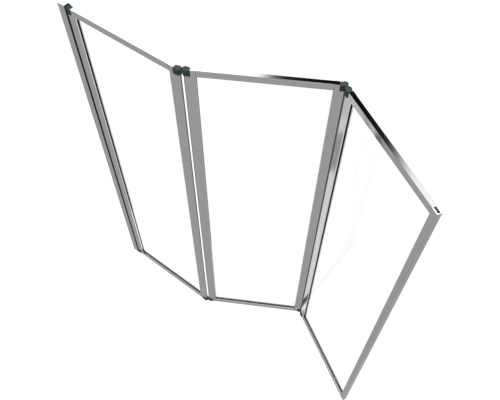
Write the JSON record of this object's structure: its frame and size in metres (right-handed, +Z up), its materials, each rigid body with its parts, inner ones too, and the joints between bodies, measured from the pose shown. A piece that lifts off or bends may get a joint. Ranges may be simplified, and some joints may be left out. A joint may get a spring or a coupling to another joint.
{
  "type": "folding bath screen",
  "caption": "Wall-hung folding bath screen: framed clear panes joined by link hinges, on a channel that is screwed to the wall.",
  "frame": {"origin": "middle of the wall profile's screw pattern, on its back face, which lies on the wall", "axes": "+X out of the wall along the first panel, +Y to the side away from the bather's room, +Z up"},
  "size_m": [1.2223, 0.2389, 1.4086],
  "materials": {
    "polished_frame": "bright polished silver, fine drawn lines along the profile",
    "hinge_plastic": "moulded slate plastic, satin",
    "link_metal": "blackened plate, satin",
    "bush_plastic": "white acetal",
    "steel": "bright turned steel",
    "bracket_metal": "black, satin",
    "black_plastic": "moulded dark grey plastic",
    "cast_alloy": "die-cast, polished where it lies flush with the frame",
    "black_rubber": "matt black extruded rubber",
    "glazing_rubber": "pale grey extruded rubber",
    "clear_seal": "soft translucent strip",
    "pane": "clear safety glass with a faint green tint"
  },
  "bodies": {
    "wall_side": {"wall_profile": "polished_frame", "adjusting_profile": "polished_frame", "wall_seal_strip": "black_rubber", "adjusting_screws": "steel", "top_bracket": "bracket_metal", "bottom_bracket": "bracket_metal", "top_cover": "polished_frame", "bottom_cover": "polished_frame", "wall_pins": "steel"},
    "panel_1": {"panel_1_wall_stile": "polished_frame", "panel_1_right_stile": "polished_frame", "panel_1_top_rail": "polished_frame", "panel_1_bottom_rail": "polished_frame", "panel_1_pane": "pane", "panel_1_gasket": "glazing_rubber", "panel_1_corner_keys": "cast_alloy", "panel_1_corner_screws": "steel", "panel_1_nose_seal": "black_rubber", "panel_1_bottom_seal": "clear_seal", "panel_1_wall_top_cap": "hinge_plastic", "panel_1_wall_bottom_cap": "hinge_plastic", "panel_1_top_cap": "hinge_plastic", "panel_1_bottom_cap": "hinge_plastic", "panel_1_pins": "steel"},
    "link_1": {"link_1_top_plate": "link_metal", "link_1_bottom_plate": "link_metal", "link_1_bushes": "bush_plastic"},
    "panel_2": {"panel_2_left_stile": "polished_frame", "panel_2_right_stile": "polished_frame", "panel_2_top_rail": "polished_frame", "panel_2_bottom_rail": "polished_frame", "panel_2_pane": "pane", "panel_2_gasket": "glazing_rubber", "panel_2_corner_keys": "cast_alloy", "panel_2_corner_screws": "steel", "panel_2_bottom_seal": "clear_seal", "panel_2_left_top_cap": "hinge_plastic", "panel_2_left_bottom_cap": "hinge_plastic", "panel_2_right_top_cap": "hinge_plastic", "panel_2_right_bottom_cap": "hinge_plastic", "panel_2_pins": "steel"},
    "link_2": {"link_2_top_plate": "link_metal", "link_2_bottom_plate": "link_metal", "link_2_bushes": "bush_plastic"},
    "panel_3": {"panel_3_left_stile": "polished_frame", "panel_3_free_stile": "polished_frame", "panel_3_top_rail": "polished_frame", "panel_3_bottom_rail": "polished_frame", "panel_3_pane": "pane", "panel_3_gasket": "glazing_rubber", "panel_3_corner_keys": "cast_alloy", "panel_3_free_corner_keys": "black_plastic", "panel_3_corner_screws": "steel", "panel_3_bottom_seal": "clear_seal", "panel_3_top_cap": "hinge_plastic", "panel_3_bottom_cap": "hinge_plastic", "panel_3_pins": "steel"}
  },
  "joints": [
    {"name": "wall_hinge", "type": "hinge", "parent": "wall_side", "child": "panel_1", "pos_m": [0.0374, 0, 0], "axis": [0, 0, -1], "range_deg": [-90, 90]},
    {"name": "hinge_1_near", "type": "hinge", "parent": "panel_1", "child": "link_1", "pos_m": [0.4604, 0, 0], "axis": [0, 0, 1], "range_deg": [-30, 60]},
    {"name": "hinge_1_far", "type": "hinge", "parent": "link_1", "child": "panel_2", "pos_m": [0.47755, 0.0099, 0], "axis": [0, 0, 1], "range_deg": [0, 90]},
    {"name": "hinge_2_near", "type": "hinge", "parent": "panel_2", "child": "link_2", "pos_m": [0.84128, 0.2199, 0], "axis": [0, 0, 1], "range_deg": [-29.5, 60.5]},
    {"name": "hinge_2_far", "type": "hinge", "parent": "link_2", "child": "panel_3", "pos_m": [0.85834, 0.20985, 0], "axis": [0, 0, 1], "range_deg": [-90, 0]}
  ]
}
